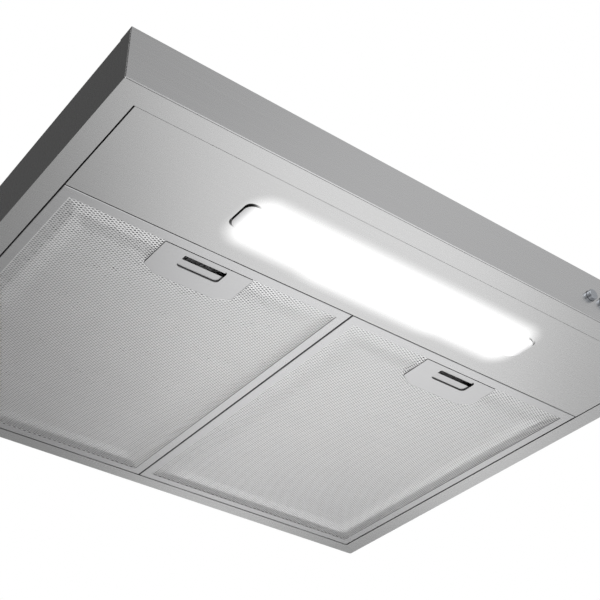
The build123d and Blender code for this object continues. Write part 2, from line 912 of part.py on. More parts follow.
def switch_bracket():
    """An angle of steel that hangs the switch block under the tray's top."""
    top = tray_top_z - sheet
    half = switch_block_height / 2
    front = switch_front_y - bracket_sheet
    plate = block(bracket_left_x, bracket_right_x, front, switch_front_y, button_z - half, top)
    plate += block(
        bracket_left_x, bracket_right_x, front, front + bracket_flange, top - bracket_sheet, top
    )
    hole_radius = button_radius + button_hole_gap
    cuts = [rod_y(x, button_z, front - 1, switch_front_y + 1, hole_radius) for x in button_xs]
    cuts += upright_holes(bracket_screw_places(), sheet_hole, top - 2 * bracket_sheet, top + 1)
    return plate - cuts


def volute_face():
    """The inside of the scroll and its outlet, seen from above."""
    half = volute_step / 2
    radii = [volute_radius + volute_step * number for number in range(4)]
    centres = [
        (fan_x + half, fan_y + half),
        (fan_x - half, fan_y + half),
        (fan_x - half, fan_y - half),
        (fan_x + half, fan_y - half),
    ]
    starts = [cutoff_angle, 0, 90, 180]
    sweeps = [-cutoff_angle, 90, 90, 90]
    arcs = [
        CenterArc(centre, radius, start, sweep)
        for centre, radius, start, sweep in zip(centres, radii, starts, sweeps)
    ]
    cutoff = arcs[0] @ 0
    lower = arcs[3] @ 1
    outlet_x = 1 - outlet_box_half
    lines = [
        Line(lower, (outlet_x, lower.Y)),
        Line((outlet_x, lower.Y), (outlet_x, cutoff.Y)),
        Line((outlet_x, cutoff.Y), cutoff),
    ]
    return make_face(Wire(arcs + lines))


def outlet_face():
    """The inside of the outlet box under the collar, seen from above."""
    depth = outlet_box_rear - box_front_y
    middle = (outlet_box_rear + box_front_y) / 2
    return Pos(0, middle) * RectangleRounded(2 * outlet_box_half, depth, outlet_box_corner)


def blower_space(grow, z0, z1):
    """The scroll and outlet box as one solid, grown outwards by a wall."""
    faces = [volute_face(), outlet_face()]
    if grow:
        faces = [offset(face, amount=grow) for face in faces]
    scroll, box = [Pos(0, 0, z0) * extrude(face, z1 - z0) for face in faces]
    return scroll + box


def ears(places, z0, z1):
    """Round ears with a screw hole, each joined to the wall by its own width."""
    return [disc(x, y, z0, z1, ear_radius) for x, y in places]


def ear_arms(places, z0, z1):
    """Short arms from each ear towards the inside of the housing."""
    arms = []
    for x, y in places:
        to_x = fan_x if x < -outlet_box_half else min(max(x, -outlet_box_half), outlet_box_half)
        to_y = fan_y if x < -outlet_box_half else min(max(y, box_front_y), outlet_box_rear)
        way = Vector(to_x - x, to_y - y).normalized() * (ear_radius + blower_wall)
        middle = Pos(x + way.X / 2, y + way.Y / 2, (z0 + z1) / 2)
        turn = Vector(1, 0).get_signed_angle(Vector(way.X, way.Y), Vector(0, 0, 1))
        arms.append(middle * Rot(0, 0, turn) * Box(way.length, 2 * ear_radius, z1 - z0))
    return arms


def blower_upper():
    """The blower's upper half: roof with the outlet, walls and ears."""
    shell = blower_space(blower_wall, split_z, roof_top_z)
    shell += ears(hang_places(), roof_top_z - ear_thickness, roof_top_z)
    shell += ear_arms(hang_places(), roof_top_z - ear_thickness, roof_top_z)
    shell += ears(join_places(), split_z, split_z + ear_thickness)
    shell += ear_arms(join_places(), split_z, split_z + ear_thickness)
    shell -= blower_space(0, split_z - 1, roof_z)
    shell -= disc(0, 0, roof_z - 1, roof_top_z + 1, skirt_radius - skirt_wall)
    cuts = upright_holes(hang_places(), machine_hole, roof_top_z - ear_thickness - 1, roof_top_z + 1)
    cuts += upright_holes(join_places(), machine_hole, split_z - 1, split_z + ear_thickness + 1)
    cuts += upright_holes(motor_ear_places(), machine_hole, roof_z - 1, roof_top_z + 1)
    lead_x, lead_y = motor_lead_start()
    cuts.append(disc(lead_x, lead_y, roof_z - 1, roof_top_z + 1, lead_hole))
    return shell - cuts


def blower_lower():
    """The blower's lower half: floor, walls, the round inlet with its collar and the ears."""
    shell = blower_space(blower_wall, floor_z, split_z)
    shell += ears(join_places(), split_z - ear_thickness, split_z)
    shell += ear_arms(join_places(), split_z - ear_thickness, split_z)
    shell -= blower_space(0, floor_top_z, split_z + 1)
    shell += disc(fan_x, fan_y, floor_z, floor_top_z + inlet_height, inlet_radius + blower_wall)
    shell -= disc(fan_x, fan_y, floor_z - 1, floor_top_z + inlet_height + 1, inlet_radius)
    cuts = upright_holes(join_places(), machine_hole, split_z - ear_thickness - 1, split_z + 1)
    return shell - cuts


def blower_screws():
    """The screws that hang the blower and those that join its halves, all alike and driven from below."""
    one = screw(machine_screw_radius, machine_screw_length, machine_head_radius, machine_head_height)
    hang = [(x, y, roof_top_z - ear_thickness) for x, y in hang_places()]
    join = [(x, y, split_z - ear_thickness) for x, y in join_places()]
    return [Pos(*place) * UP * one for place in hang + join]


def rubber_bushes():
    """Rubber spacers: tall ones above the blower's ears and thin ones above the motor's."""
    bore = machine_screw_radius + bush_bore_gap
    tall_top = -sheet - boss_height
    tall = [ring(x, y, roof_top_z, tall_top, hang_bush_radius, bore) for x, y in hang_places()]
    thin = [ring(x, y, motor_top_z, roof_z, motor_bush_radius, bore) for x, y in motor_ear_places()]
    return tall + thin


def blade():
    """A forward-curved blade between two arcs, seen from above."""
    inner = Vector(wheel_inner_radius, 0)
    outer_radius = wheel_radius - blade_thickness / 4
    turn = radians(blade_sweep)
    outer = Vector(outer_radius * cos(turn), outer_radius * sin(turn))
    middle = (inner + outer) * 0.5
    across = Vector(outer.Y - inner.Y, inner.X - outer.X).normalized()
    side = across * blade_thickness
    crown = middle + across * blade_bulge
    first = ThreePointArc(inner, crown, outer)
    second = ThreePointArc(outer + side, crown + side, inner + side)
    ends = [Line(outer, outer + side), Line(inner + side, inner)]
    return make_face(Wire([first, ends[0], second, ends[1]]))


def impeller():
    """The blower wheel: back plate, blades, end ring, and a cup round the motor that carries the hub."""
    centre = Pos(fan_x, fan_y)
    ring_width = wheel_radius - wheel_inner_radius
    plate_z = wheel_top_z - wheel_plate
    wheel = ring(fan_x, fan_y, plate_z, wheel_top_z, wheel_radius, cup_radius)
    wheel += ring(
        fan_x, fan_y, wheel_bottom_z, wheel_bottom_z + wheel_ring, wheel_radius, wheel_radius - ring_width / 3
    )
    wheel += ring(fan_x, fan_y, cup_floor_z - wheel_plate, wheel_top_z, cup_radius + wheel_plate, cup_radius)
    wheel += disc(fan_x, fan_y, cup_floor_z - wheel_plate, cup_floor_z, cup_radius + wheel_plate)
    wheel += disc(fan_x, fan_y, hub_bottom_z, cup_floor_z, hub_radius)
    one = Pos(0, 0, wheel_bottom_z) * extrude(blade(), plate_z - wheel_bottom_z)
    wheel += [centre * Rot(0, 0, 360 * number / blade_count) * one for number in range(blade_count)]
    return wheel - disc(fan_x, fan_y, hub_bottom_z - 1, cup_floor_z + 1, shaft_radius + hub_fit)


def impeller_nut():
    """The hexagon nut under the hub."""
    nut = Pos(fan_x, fan_y, hub_bottom_z - nut_height) * extrude(
        RegularPolygon(nut_flats / 2, 6, major_radius=False), nut_height
    )
    return nut - disc(fan_x, fan_y, hub_bottom_z - nut_height - 1, hub_bottom_z + 1, shaft_radius + hub_fit)


def motor_can():
    """The motor's shell, with three ears and a boss for each bearing."""
    can = ring(fan_x, fan_y, motor_bottom_z, motor_top_z, motor_radius, motor_radius - motor_shell)
    seat = shaft_radius + shaft_gap + bearing_wall + bearing_seat_gap
    for low, high, deep in (
        (motor_bottom_z, motor_bottom_z + motor_shell, motor_bottom_z + bearing_length),
        (motor_top_z - motor_shell, motor_top_z, motor_top_z - bearing_length),
    ):
        can += disc(fan_x, fan_y, low, high, motor_radius)
        boss = sorted((deep, low if deep > high else high))
        can += disc(fan_x, fan_y, *boss, motor_boss_radius)
    for x, y in motor_ear_places():
        can += disc(x, y, motor_top_z - motor_ear_thickness, motor_top_z, motor_ear_reach / 2)
        way = Vector(x - fan_x, y - fan_y).normalized() * motor_radius * 0.98
        arm = Pos((x + fan_x + way.X) / 2, (y + fan_y + way.Y) / 2, motor_top_z - motor_ear_thickness / 2)
        turn = Vector(1, 0).get_signed_angle(way, Vector(0, 0, 1))
        can += arm * Rot(0, 0, turn) * Box(motor_ear_reach / 2, motor_ear_reach, motor_ear_thickness)
    can -= disc(fan_x, fan_y, motor_bottom_z - 1, motor_top_z + 1, seat)
    return can - upright_holes(
        motor_ear_places(), machine_hole, motor_top_z - motor_ear_thickness - 1, motor_top_z + 1
    )


def stack_levels():
    """The bottom and top of the motor's iron, in the middle of its shell."""
    middle = (motor_top_z + motor_bottom_z) / 2
    return middle - stack_height / 2, middle + stack_height / 2


def motor_stator():
    """The iron ring with a round winding head above and below."""
    low, high = stack_levels()
    inner = rotor_radius + air_gap
    stator = ring(fan_x, fan_y, low, high, motor_radius - motor_shell - stator_gap, inner)
    winding_outer = motor_radius - motor_shell - winding_height
    return stator + ring(
        fan_x, fan_y, low - winding_height, high + winding_height, winding_outer, inner + winding_height
    )


def motor_rotor():
    """The rotor on its shaft, which carries the wheel below."""
    low, high = stack_levels()
    rotor = disc(fan_x, fan_y, low, high, rotor_radius)
    shaft_top = motor_top_z - motor_shell
    return rotor + disc(fan_x, fan_y, hub_bottom_z - nut_height, shaft_top, shaft_radius)


def motor_bearings():
    """The two sleeve bearings."""
    bore = shaft_radius + shaft_gap
    outer = bore + bearing_wall
    return [
        ring(fan_x, fan_y, motor_bottom_z, motor_bottom_z + bearing_length, outer, bore),
        ring(fan_x, fan_y, motor_top_z - bearing_length, motor_top_z, outer, bore),
    ]


def motor_screws():
    """Three screws down through the roof and the bushes into the motor's ears."""
    one = screw(machine_screw_radius, motor_screw_length, machine_head_radius, machine_head_height)
    return [Pos(x, y, roof_top_z) * DOWN * one for x, y in motor_ear_places()]


def duct_collar():
    """The outlet collar: flange, tube, skirt down to the blower, ledge and seats for the flaps."""
    inner = collar_radius - collar_wall
    skirt_inner = skirt_radius - skirt_wall
    collar = ring(0, 0, 0, collar_height, collar_radius, inner)
    collar += ring(0, 0, 0, collar_flange_thickness, collar_flange_radius, skirt_inner)
    collar += ring(0, 0, roof_top_z + skirt_seat, collar_flange_thickness / 2, skirt_radius, skirt_inner)
    ledge_z = collar_flange_thickness
    collar += ring(0, 0, ledge_z, ledge_z + ledge_thickness, inner + collar_wall / 2, inner - ledge_width)
    cuts = upright_holes(collar_screw_places(), sheet_hole, -1, collar_flange_thickness + 1)
    reach = collar_radius + 1
    cuts.append(rod_y(0, damper_rod_z(), -reach, reach, damper_rod_radius + rod_seat_gap))
    return collar - cuts


def damper_rod_z():
    """The level of the flaps' rod, in the middle of the closed flaps."""
    return collar_flange_thickness + ledge_thickness + damper_rest_gap + damper_thickness / 2


def damper_rod():
    """The rod that both flaps turn on."""
    reach = collar_radius - collar_wall / 4
    return rod_y(0, damper_rod_z(), -reach, reach, damper_rod_radius)


def damper(side):
    """A half-round flap with two knuckles. The other flap's knuckles fill the spaces between them."""
    z = damper_rod_z()
    half = damper_thickness / 2
    radius = collar_radius - collar_wall - damper_gap
    clear = knuckle_radius + knuckle_gap
    flap = disc(0, 0, z - half, z + half, radius)
    edge = sorted((side * clear, side * radius * 2))
    flap = flap & block(*edge, -2 * radius, 2 * radius, z - 2 * half, z + 2 * half)
    step = knuckle_length + knuckle_space
    first = -2 * step + knuckle_space / 2 + (0 if side > 0 else step)
    bore = damper_rod_radius + damper_rod_gap
    cuts = []
    for start in (first, first + 2 * step):
        end = start + knuckle_length
        across = sorted((0, side * (clear + 1)))
        flap += block(*across, start, end, z - half, z + half)
        flap += rod_y(0, z, start, end, knuckle_radius)
        cuts.append(rod_y(0, z, start - 1, end + 1, bore))
    return flap - cuts


def junction_box():
    """The open box for the electrical parts, on the housing's front wall."""
    right = box_left_x + box_width
    rear = box_front_face_y + box_depth
    outer = block(box_left_x, right, box_front_face_y, rear, box_bottom_z, box_top_z)
    inner = block(
        box_left_x + box_wall,
        right - box_wall,
        box_front_face_y + box_wall,
        rear - box_wall,
        box_bottom_z - 1,
        box_top_z - box_wall,
    )
    cuts = [disc(gland_x, gland_y, box_top_z - box_wall - 1, box_top_z + 1, gland_radius + gland_gap)]
    for x, y, z in box_screw_places():
        cuts.append(rod_y(x, z, box_front_face_y - 1, box_front_face_y + box_wall + 1, sheet_hole))
    motor_x, motor_z = motor_lead_end()
    cuts.append(rod_y(motor_x, motor_z, rear - box_wall - 1, rear + 1, lead_hole))
    return outer - inner - cuts


def cover_lead_places():
    """Where the lamp's and the switch block's leads come up through the junction box's lid."""
    y = -opening_y + 2 * lead_bend
    return [(box_left_x + 3 * part_gap, y), (switch_lead_x, y)]


def junction_cover():
    """The lid under the junction box, with a hole for each lead."""
    right = box_left_x + box_width
    rear = box_front_face_y + box_depth
    top = box_bottom_z - seat_gap
    cover = block(box_left_x, right, box_front_face_y, rear, top - cover_thickness, top)
    return cover - upright_holes(cover_lead_places(), lead_hole, top - cover_thickness - 1, top + 1)


def terminal_block():
    """The mains terminal block, under the box's roof."""
    x = box_left_x + box_wall + part_gap
    y = box_front_face_y + box_depth - box_wall - part_gap - terminal_width
    top = box_top_z - box_wall
    body = block(x, x + terminal_length, y, y + terminal_width, top - terminal_height, top)
    step = terminal_length / 4
    middle_y = y + terminal_width / 2
    wells = [
        disc(x + step * (number + 0.5), middle_y, top - terminal_height - 1, top - 8, step / 4)
        for number in range(4)
    ]
    return body - wells


def capacitor():
    """The motor's run capacitor, lying under the box's roof."""
    x = box_left_x + box_width - box_wall - part_gap - capacitor_length
    y = box_front_face_y + box_depth - box_wall - part_gap - capacitor_radius
    z = box_top_z - box_wall - capacitor_radius
    can = Cylinder(capacitor_radius, capacitor_length)
    body = Pos(x + capacitor_length / 2, y, z) * Rot(0, 90, 0) * can
    return fillet(body.edges(), 1.0)


def led_driver():
    """The lamp's supply, under the box's roof."""
    x = box_left_x + box_wall + part_gap
    y = box_front_face_y + box_wall + part_gap
    top = box_top_z - box_wall
    body = block(x, x + driver_length, y, y + driver_width, top - driver_height, top)
    return fillet(body.edges().filter_by(Axis.Z), 2.0)


def cable_gland():
    """The cable entry, through the housing's top into the junction box."""
    low = box_top_z - box_wall - part_gap
    gland = disc(gland_x, gland_y, low, 0, gland_radius)
    gland += disc(gland_x, gland_y, 0, gland_flange_height, gland_flange_radius)
    gland = fillet(gland.edges().group_by(Axis.Z)[-1], 1.0)
    return gland - disc(gland_x, gland_y, low - 1, gland_flange_height + 1, gland_bore)


def lead(points, bends):
    """A round lead along straight runs joined by arcs, one bend for each corner."""
    path = FilletPolyline(*points, radius=bends)
    face = Plane(origin=path @ 0, z_dir=path % 0) * Circle(lead_radius)
    return sweep(face, path=path)


def motor_lead_start():
    """X and Y where the motor's lead leaves its shell."""
    return fan_x + motor_radius * 0.6, fan_y


def motor_lead_end():
    """X and Z where the motor's lead enters the junction box's rear wall."""
    return box_left_x + box_width / 2, box_top_z - box_wall - 3 * lead_radius


def motor_lead():
    """Up through the blower's roof, round behind the outlet box and into the junction box."""
    x, y = motor_lead_start()
    high = -sheet - blower_gap / 2
    behind = outlet_box_rear + blower_wall + 2 * ear_radius + 6
    end_x, end_z = motor_lead_end()
    box_rear = box_front_face_y + box_depth
    points = [
        (x, y, motor_top_z),
        (x, y, high),
        (x, behind, high),
        (end_x, behind, high),
        (end_x, box_rear + 30, high),
        (end_x, box_rear + 14, end_z),
        (end_x, box_rear - 2 * box_wall, end_z),
    ]
    return lead(points, [5, 12, lead_bend, 18, 18])


def lamp_lead():
    """From the lamp's board over the cross rail and up into the junction box."""
    board_top = bottom_z + sheet + lamp_housing_height + board_thickness
    end_x, end_y = cover_lead_places()[0]
    turn_y = panel_rear_y - rail_flange
    points = [
        (lamp_lead_x, lamp_y, board_top),
        (lamp_lead_x, lamp_y, lead_run_z),
        (lamp_lead_x, turn_y, lead_run_z),
        (end_x, turn_y + 2 * rail_flange, lead_run_z),
        (end_x, end_y, lead_run_z),
        (end_x, end_y, box_bottom_z + part_gap),
    ]
    return lead(points, [lead_bend / 2, lead_bend, lead_bend, lead_bend])


def switch_lead():
    """From the rear of the switch block over the cross rail and up into the junction box."""
    x, end_y = cover_lead_places()[1]
    start_y = switch_front_y + switch_depth
    rise_y = start_y + 2 * lead_bend
    points = [
        (x, start_y, button_z),
        (x, start_y + lead_bend, button_z),
        (x, rise_y, lead_run_z),
        (x, end_y, lead_run_z),
        (x, end_y, box_bottom_z + part_gap),
    ]
    return lead(points, [lead_bend, lead_bend, lead_bend])


def filter_nodes():
    """Both filters, each piece in its place."""
    pieces = {
        "frame": filter_frame(),
        "face_mesh": filter_face_mesh(),
        "inner_mesh": filter_inner_mesh(),
        "back_mesh": filter_back_mesh(),
        "latch_plate": filter_latch_plate(),
        "latch_slider": filter_latch_slider(),
        "latch_springs": filter_latch_springs(),
    }
    return {
        f"filter_{side}_{piece}": placed(shape, x)
        for side, x in filter_sides.items()
        for piece, shape in pieces.items()
    }


def placed(shape, x):
    """A piece, or each solid of a group, moved along X."""
    if isinstance(shape, list):
        return [Pos(x, 0, 0) * one for one in shape]
    return Pos(x, 0, 0) * shape


nodes = {
    "canopy_shell": canopy_shell(),
    "front_fascia": front_fascia(),
    "upper_housing": upper_housing(),
    "housing_top": housing_top(),
    "lamp_panel": lamp_panel(),
    "cross_rail": cross_rail(),
    "panel_screws": panel_screws(),
    **filter_nodes(),
    "lamp_lens": lamp_lens(),
    "lamp_housing": lamp_housing(),
    "led_board": led_board(),
    "lamp_lead": lamp_lead(),
    **{f"button_{number + 1}": button(x) for number, x in enumerate(button_xs)},
    **{f"button_spring_{number + 1}": button_spring(x) for number, x in enumerate(button_xs)},
    "switch_body": switch_body(),
    "switch_bracket": switch_bracket(),
    "switch_lead": switch_lead(),
    "blower_lower": blower_lower(),
    "blower_upper": blower_upper(),
    "blower_screws": blower_screws(),
    "rubber_bushes": rubber_bushes(),
    "impeller": impeller(),
    "impeller_nut": impeller_nut(),
    "motor_can": motor_can(),
    "motor_stator": motor_stator(),
    "motor_rotor": motor_rotor(),
    "motor_bearings": motor_bearings(),
    "motor_screws": motor_screws(),
    "motor_lead": motor_lead(),
    "capacitor": capacitor(),
    "junction_box": junction_box(),
    "junction_cover": junction_cover(),
    "terminal_block": terminal_block(),
    "cable_gland": cable_gland(),
    "led_driver": led_driver(),
    "duct_collar": duct_collar(),
    "damper_left": damper(-1),
    "damper_right": damper(1),
    "damper_rod": damper_rod(),
}

os.makedirs("parts", exist_ok=True)
for name, shape in nodes.items():
    solids = shape if isinstance(shape, list) else [shape]
    whole = Compound(children=[solid for one in solids for solid in one.solids()])
    export_step(whole, f"parts/{name}.step")
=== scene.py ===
import bpy
import math
import numpy as np
from mathutils import Matrix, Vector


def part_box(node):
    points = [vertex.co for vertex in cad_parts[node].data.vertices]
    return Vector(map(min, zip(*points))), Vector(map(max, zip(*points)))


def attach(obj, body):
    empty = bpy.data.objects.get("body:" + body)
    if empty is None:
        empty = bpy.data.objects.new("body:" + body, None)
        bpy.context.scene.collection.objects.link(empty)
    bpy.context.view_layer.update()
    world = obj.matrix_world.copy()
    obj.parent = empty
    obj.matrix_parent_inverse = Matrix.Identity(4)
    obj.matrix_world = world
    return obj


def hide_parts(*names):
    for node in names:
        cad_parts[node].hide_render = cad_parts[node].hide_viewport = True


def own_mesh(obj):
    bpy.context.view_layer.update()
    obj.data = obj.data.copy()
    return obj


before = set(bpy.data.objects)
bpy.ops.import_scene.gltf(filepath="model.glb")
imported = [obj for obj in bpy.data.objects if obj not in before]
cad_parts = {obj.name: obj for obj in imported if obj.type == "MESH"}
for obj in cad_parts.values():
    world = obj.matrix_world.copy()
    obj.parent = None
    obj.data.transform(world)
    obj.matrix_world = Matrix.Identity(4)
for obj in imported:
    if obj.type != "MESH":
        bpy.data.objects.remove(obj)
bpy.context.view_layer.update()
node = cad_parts


# Canopy shell. One sheet of fine brushed stainless steel, folded into a shallow tray that is open
# below, with an inward flange along its lower edge. The brush lines run along the hood and turn
# down its sides with the folds.
class Wire:
    """One value on its way through a node tree. Sums of wires add the nodes that work them out."""

    def __init__(self, nodes, socket):
        self.nodes = nodes
        self.socket = socket

    def math(self, operation, *values):
        return self.nodes.node("ShaderNodeMath", {"operation": operation}, dict(enumerate(values)))

    def __add__(self, other):
        return self.math("ADD", self, other)

    def __sub__(self, other):
        return self.math("SUBTRACT", self, other)

    def __rsub__(self, other):
        return self.math("SUBTRACT", other, self)

    def __mul__(self, other):
        return self.math("MULTIPLY", self, other)

    def __truediv__(self, other):
        return self.math("DIVIDE", self, other)

    def __pow__(self, other):
        return self.math("POWER", self, other)

    def __abs__(self):
        return self.math("ABSOLUTE", self)

    __radd__ = __add__
    __rmul__ = __mul__

    def at_least(self, other):
        return self.math("MAXIMUM", self, other)

    def rise(self, low, high):
        """0 below low, 1 above high, and smooth between them."""
        settings = {"interpolation_type": "SMOOTHSTEP"}
        return self.nodes.node("ShaderNodeMapRange", settings, {0: self, 1: low, 2: high})


class Nodes:
    """A node tree that grows one value at a time."""

    def __init__(self, tree):
        self.tree = tree

    def node(self, kind, settings, values, output=0):
        made = self.tree.nodes.new(kind)
        for key, value in settings.items():
            setattr(made, key, value)
        for key, value in values.items():
            self.join(made.inputs[key], value)
        return Wire(self, made.outputs[output])

    def join(self, socket, value):
        if isinstance(value, Wire):
            self.tree.links.new(value.socket, socket)
        elif socket.type == "RGBA":
            socket.default_value = (*value, 1.0)
        else:
            socket.default_value = value

    def axes(self, vector):
        return [self.node("ShaderNodeSeparateXYZ", {}, {0: vector}, axis) for axis in range(3)]

    def tint(self, colour, level):
        """The colour, made lighter or darker by a level that varies over the surface."""
        return self.node("ShaderNodeVectorMath", {"operation": "SCALE"}, {0: colour, "Scale": level})

    def mix(self, share, low, high):
        return self.node("ShaderNodeMix", {"data_type": "RGBA"}, {0: share, 6: low, 7: high}, 2)


class Finish(Nodes):
    """The finish of one surface: a Principled shader whose patterns follow the part's own place."""

    def __init__(self, name, constants):
        self.material = bpy.data.materials.new(name)
        self.material.use_nodes = True
        super().__init__(self.material.node_tree)
        self.shader = self.tree.nodes["Principled BSDF"]
        self.place = self.node("ShaderNodeTexCoord", {}, {}, "Object")
        self.normal = Wire(self, self.place.socket.node.outputs["Normal"])
        for socket, value in constants.items():
            self.feed(socket, value)

    def feed(self, socket, value):
        self.join(self.shader.inputs[socket], value)

    def spread(self, per_metre):
        """The place, with that many units to the metre along X, Y and Z."""
        values = {0: self.place, 1: per_metre}
        return self.node("ShaderNodeVectorMath", {"operation": "MULTIPLY"}, values)

    def noise(self, per_metre, detail=2.0):
        at = self.spread(per_metre)
        return self.node("ShaderNodeTexNoise", {}, {"Vector": at, "Scale": 1.0, "Detail": detail})

    def relief(self, height, depth):
        """Raises the surface by up to depth metres where the height is 1."""
        values = {"Strength": 1.0, "Distance": depth, "Height": height}
        self.feed("Normal", self.node("ShaderNodeBump", {}, values))


def brushed_steel(name, colour, roughness, stroke=0.07):
    """Satin sheet: brush strokes, and the slow cloudiness of rolled steel."""
    finish = Finish(name, {"Metallic": 1.0})
    side = abs(finish.axes(finish.normal)[0]).rise(0.5, 0.8)
    long_strokes = finish.noise((7, 1300, 1300), 3)
    down_strokes = finish.noise((1300, 1300, 7), 3)
    strokes = long_strokes * (1 - side) + down_strokes * side
    cloud = finish.noise((3, 6, 6), 1)
    finish.feed("Base Color", finish.tint(colour, 0.93 + strokes * stroke + cloud * 0.04))
    finish.feed("Roughness", strokes * 0.10 + (roughness - 0.05))
    finish.relief(strokes, 0.000004)
    return finish


def dress(finish, *names):
    """Gives CAD nodes their finish."""
    for name in names:
        for slot in node[name].material_slots:
            slot.material = finish.material


steel = brushed_steel("satin stainless", (0.58, 0.58, 0.58), 0.28)
dress(steel, "canopy_shell")


# Front bar. A thicker strip of the same stainless steel, folded back over the tray's top and
# screwed down there, with a round hole for each push button.
bar_steel = brushed_steel("satin stainless bar", (0.595, 0.595, 0.60), 0.27)
dress(bar_steel, "front_fascia")


# Housing, cross rail and the angle behind the buttons. Hot-dip galvanised sheet, left bare because
# the cabinet or the tray hides it. Its zinc has frozen in small flat crystals.
def galvanised_sheet():
    finish = Finish("galvanised sheet", {"Metallic": 1.0})
    at = finish.spread((95, 95, 95))
    crystal = finish.node("ShaderNodeTexVoronoi", {}, {"Vector": at, "Scale": 1.0}, "Color")
    level = finish.node("ShaderNodeSeparateColor", {}, {0: crystal})
    bloom = finish.noise((9, 9, 9), 3)
    scratches = finish.noise((40, 900, 900), 2).rise(0.62, 0.72)
    shade = 0.80 + level * 0.16 + bloom * 0.12 - scratches * 0.05
    finish.feed("Base Color", finish.tint((0.60, 0.61, 0.62), shade))
    finish.feed("Roughness", 0.34 + level * 0.16 + bloom * 0.08)
    finish.relief(level, 0.00001)
    return finish


dress(galvanised_sheet(), "upper_housing", "housing_top", "cross_rail", "switch_bracket")


# Blower casing. Two halves moulded in dark flame-retardant plastic, joined by screws half-way up
# and hung from the housing's top. A fine spark-eroded grain covers both.
def moulded(name, colour, roughness, grain=1100, depth=0.00003, cloudiness=0.16):
    """Moulded plastic: a fine grain, and the faint cloudiness of its pigment."""
    finish = Finish(name, {})
    fine = finish.noise((grain, grain, grain), 2)
    cloud = finish.noise((14, 14, 14), 3)
    finish.feed("Base Color", finish.tint(colour, (1 - cloudiness / 2) + cloud * cloudiness))
    finish.feed("Roughness", (roughness - 0.08) + fine * 0.16)
    finish.relief(fine, depth)
    return finish


dress(moulded("blower plastic", (0.10, 0.10, 0.11), 0.52), "blower_lower", "blower_upper")


# Screws. Self-tapping and machine screws, all bright zinc plated, with a faint blue of the
# passivation and the marks of turning round their shanks.
def plated_steel(name, colour, roughness):
    finish = Finish(name, {"Metallic": 1.0})
    cloud = finish.noise((260, 260, 260), 2)
    scuff = finish.noise((1700, 1700, 1700), 2)
    finish.feed("Base Color", finish.tint(colour, 0.84 + cloud * 0.22))
    finish.feed("Roughness", (roughness - 0.06) + scuff * 0.16)
    return finish


zinc = plated_steel("bright zinc", (0.70, 0.72, 0.75), 0.30)
dress(zinc, "panel_screws", "blower_screws", "motor_screws")


# Rubber bushes. Soft black rings between the blower and the housing and under the motor's ears,
# with a dusting of chalk from the mould.
def rubber(name, colour):
    finish = Finish(name, {})
    dust = finish.noise((150, 150, 150), 4).rise(0.5, 0.8)
    fine = finish.noise((1500, 1500, 1500), 1)
    finish.feed("Base Color", finish.mix(dust * 0.35, colour, (0.16, 0.16, 0.15)))
    finish.feed("Roughness", 0.66 + dust * 0.16)
    finish.relief(fine, 0.00002)
    return finish


dress(rubber("black rubber", (0.030, 0.030, 0.032)), "rubber_bushes")


# Motor. A pressed and lacquered steel can, hung by three ears in the wheel's cup. Inside are a
# stack of iron laminations with copper windings at both ends, a rotor on a ground shaft, and a
# sintered bronze bush in each end of the can.
can = Finish("lacquered motor can", {"Metallic": 0.85, "Coat Weight": 0.3})
orange_peel = can.noise((420, 420, 420), 2)
can.feed("Base Color", can.tint((0.16, 0.16, 0.17), 0.9 + can.noise((30, 30, 30), 2) * 0.2))
can.feed("Roughness", 0.34 + orange_peel * 0.14)
can.relief(orange_peel, 0.00002)
dress(can, "motor_can")

WINDING = 0.003
WINDING_EDGE = 0.0001
LAMINATION = 0.0005


def laminated_iron(name, windings):
    """Thin stamped sheets of iron one on another, with the windings' copper at both ends."""
    finish = Finish(name, {"Metallic": 1.0})
    low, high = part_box("motor_stator")
    z = finish.axes(finish.place)[2]
    sheets = z.math("PINGPONG", z, LAMINATION / 2) / (LAMINATION / 2)
    iron = finish.tint((0.33, 0.32, 0.31), 0.75 + sheets * 0.35)
    strands = finish.noise((160, 160, 2400), 2)
    copper = finish.tint((0.72, 0.33, 0.16), 0.7 + strands * 0.5)
    middle = (low.z + high.z) / 2
    band = (high.z - low.z) / 2 - WINDING
    wound = abs(z - middle).rise(band - WINDING_EDGE, band + WINDING_EDGE) * windings
    finish.feed("Base Color", finish.mix(wound, iron, copper))
    finish.feed("Roughness", 0.46 - wound * 0.12 + strands * 0.1)
    finish.relief(sheets * (1 - wound) + strands * wound, 0.00006)
    return finish


dress(laminated_iron("wound stator", 1.0), "motor_stator")
dress(laminated_iron("rotor iron", 0.0), "motor_rotor")

bronze = Finish("sintered bronze", {"Metallic": 1.0})
pores = bronze.noise((2600, 2600, 2600), 2).rise(0.35, 0.6)
bronze.feed("Base Color", bronze.tint((0.60, 0.42, 0.22), 0.6 + pores * 0.45))
bronze.feed("Roughness", 0.62 - pores * 0.2)
bronze.relief(pores, 0.00002)
dress(bronze, "motor_bearings")


# Blower wheel. A forward-curved wheel moulded in one piece round the motor's cup, pressed on the
# shaft and held by a plated nut. Its blades carry faint lines from the mould's steel.
wheel = Finish("wheel plastic", {})
flow = wheel.noise((400, 400, 30), 3)
wheel.feed("Base Color", wheel.tint((0.15, 0.15, 0.16), 0.86 + flow * 0.28))
wheel.feed("Roughness", 0.38 + flow * 0.18)
wheel.relief(flow, 0.00003)
dress(wheel, "impeller")
dress(plated_steel("plated nut", (0.62, 0.62, 0.60), 0.34), "impeller_nut")


# Duct collar and its two flaps. The collar is moulded in black plastic and screwed on top of the
# housing. The flaps hang on one drawn wire, and fall shut when no air leaves.
dress(moulded("collar plastic", (0.060, 0.060, 0.064), 0.46, depth=0.00004), "duct_collar")
dress(moulded("flap plastic", (0.085, 0.085, 0.090), 0.40, grain=700), "damper_left", "damper_right")
dress(plated_steel("drawn wire", (0.60, 0.60, 0.60), 0.26), "damper_rod")


